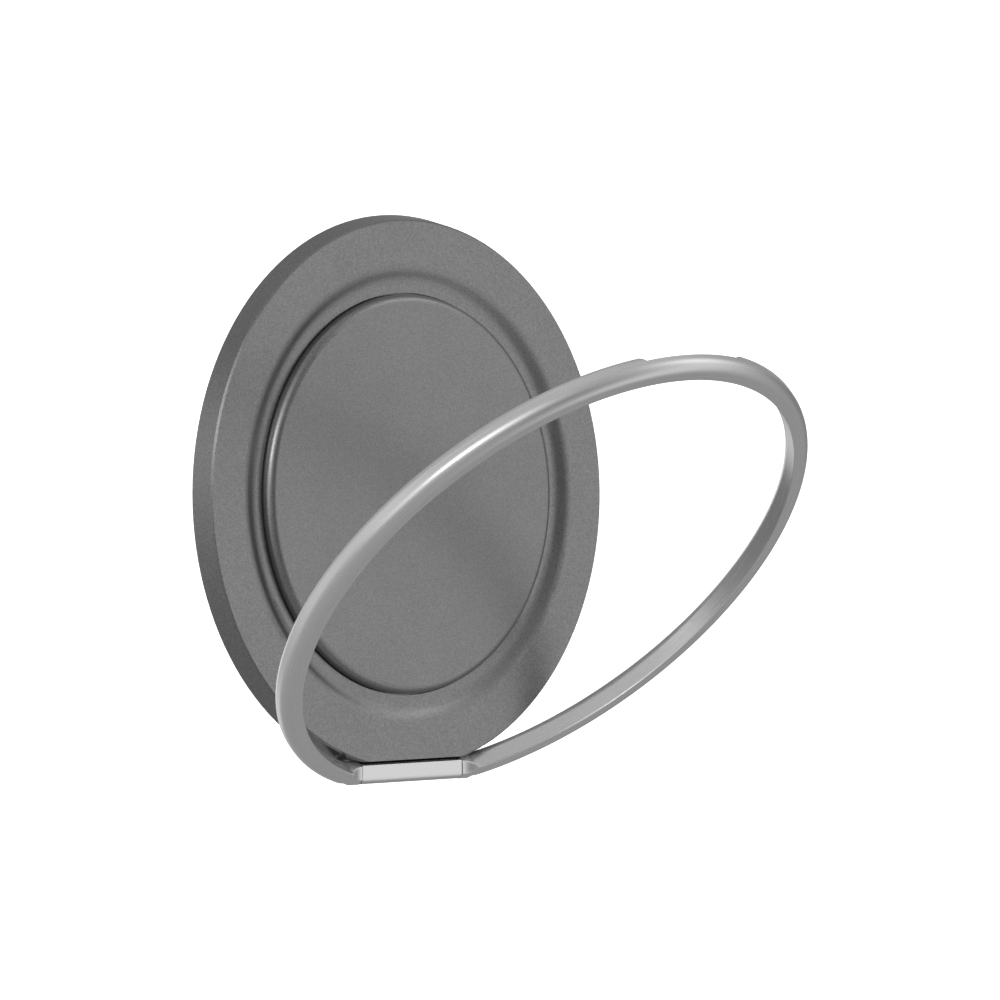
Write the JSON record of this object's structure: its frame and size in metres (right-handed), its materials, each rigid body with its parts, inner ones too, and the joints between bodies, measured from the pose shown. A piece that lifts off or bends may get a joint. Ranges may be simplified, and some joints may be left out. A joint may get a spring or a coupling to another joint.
{
  "type": "phone grip",
  "caption": "Slim round magnetic phone grip with a raised centre cap, a grooved face and a finger ring hinged on a flat at its lower edge, which also serves as a stand.",
  "frame": {"origin": "centre of the magnet face, on the back pad", "axes": "+Z towards the top of the disc, away from the hinge; +X to the right seen from the front; the front faces -Y and +Y points into the phone"},
  "size_m": [0.0608, 0.0434, 0.0568],
  "materials": {
    "shell_metal": "fine bead-blasted dark grey",
    "cap_metal": "fine bead-blasted dark grey",
    "ring_metal": "satin silver",
    "bracket_metal": "satin silver",
    "pad": "soft matte",
    "cover": "fine matte",
    "magnet": "nickel plated",
    "steel": "plain",
    "tape": "bonding film",
    "washer": "low-friction polymer"
  },
  "bodies": {
    "base": {"front_shell": "shell_metal", "centre_cap": "cap_metal", "cap_tape": "tape", "magnet_segments": "magnet", "shield_ring": "steel", "back_cover": "cover", "back_pad": "pad", "hinge_bracket": "bracket_metal", "bracket_screws": "steel", "hinge_pin": "steel", "friction_washers": "washer"},
    "ring": {"grip_ring": "ring_metal"}
  },
  "joints": [
    {"name": "ring_hinge", "type": "hinge", "parent": "base", "child": "ring", "pos_m": [0, -0.0018, -0.02778], "axis": [1, 0, 0], "range_deg": [-45.5, 134.5]}
  ]
}
